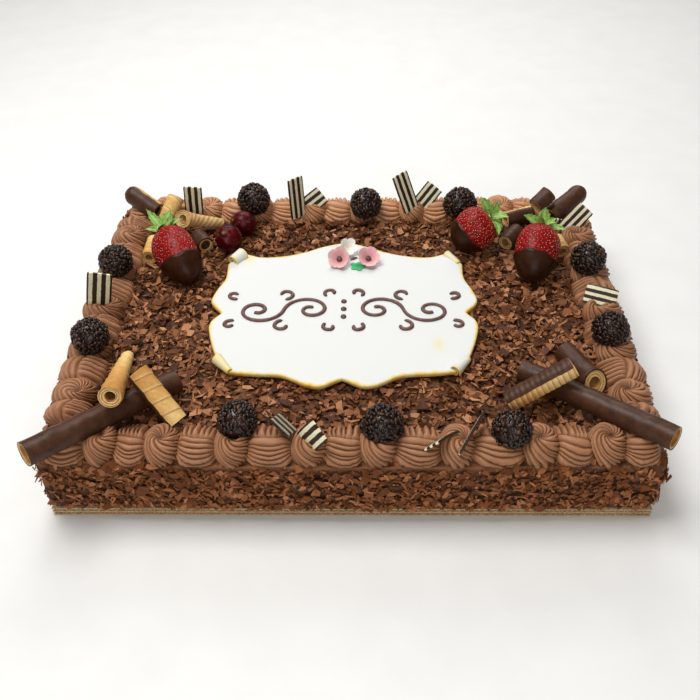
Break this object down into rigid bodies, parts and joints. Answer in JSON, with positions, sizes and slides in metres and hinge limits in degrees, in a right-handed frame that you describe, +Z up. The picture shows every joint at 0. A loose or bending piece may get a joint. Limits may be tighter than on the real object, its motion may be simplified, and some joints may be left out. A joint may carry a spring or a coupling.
{
  "type": "chocolate truffle cake",
  "caption": "Rectangular chocolate sheet cake on a corrugated board, with piped buttercream border, sprinkled truffles, wafer rolls, dipped strawberries and a white sugar plaque.",
  "frame": {"origin": "centre of the underside of the cake board", "axes": "+X to the cake's right along its long side, +Y to its back, +Z up"},
  "size_m": [0.4115, 0.3234, 0.0995],
  "materials": {
    "cardboard": "brown corrugated cardboard",
    "cake": "coat of milk and dark chocolate shavings",
    "icing": "soft chocolate buttercream with a silky sheen",
    "truffle": "dark chocolate sprinkles",
    "cigar": "wafer roll coated in dark chocolate",
    "wafer": "golden rolled wafer, part dipped in chocolate",
    "plate": "dark chocolate with ivory stripes",
    "strawberry": "glossy red fruit, lower half dipped in dark chocolate",
    "calyx": "fresh green leaves",
    "grape": "dark red grape skin with a pale bloom",
    "plaque": "white sugar paste with toasted edges",
    "ornament": "piped chocolate lines on the plaque",
    "pink": "pink sugar petals",
    "white": "white sugar petals",
    "green": "green sugar leaf"
  },
  "bodies": {
    "root": {"cake_board": "cardboard", "cake_body": "cake", "piping_front": "icing", "piping_back": "icing", "piping_left": "icing", "piping_right": "icing", "truffle_01": "truffle", "truffle_02": "truffle", "truffle_03": "truffle", "truffle_04": "truffle", "truffle_05": "truffle", "truffle_06": "truffle", "truffle_07": "truffle", "truffle_08": "truffle", "truffle_09": "truffle", "truffle_10": "truffle", "cigar_front_left": "cigar", "cigar_front_right": "cigar", "cigar_back_left": "cigar", "cigar_back_right": "cigar", "wafer_front_left_low": "wafer", "wafer_front_left_high": "wafer", "wafer_front_right_high": "wafer", "wafer_front_right_low": "wafer", "wafer_back_left_high": "wafer", "wafer_back_left_mid": "wafer", "wafer_back_left_dark": "wafer", "wafer_back_left_side": "wafer", "wafer_back_right_low": "wafer", "wafer_back_right_high": "wafer", "wafer_back_right_dark": "wafer", "wafer_back_right_side": "wafer", "striped_plate_01": "plate", "striped_plate_02": "plate", "striped_plate_03": "plate", "striped_plate_04": "plate", "striped_plate_05": "plate", "striped_plate_06": "plate", "striped_plate_07": "plate", "striped_plate_08": "plate", "striped_plate_09": "plate", "striped_plate_10": "plate", "striped_plate_11": "plate", "striped_plate_12": "plate", "striped_plate_13": "plate", "strawberry_left": "strawberry", "strawberry_middle": "strawberry", "strawberry_right": "strawberry", "calyx_left": "calyx", "calyx_middle": "calyx", "calyx_right": "calyx", "grape_front": "grape", "grape_back": "grape", "plaque": "plaque", "blossom_pink_left": "pink", "blossom_pink_right": "pink", "blossom_white": "white", "sugar_leaf": "green"}
  },
  "joints": []
}
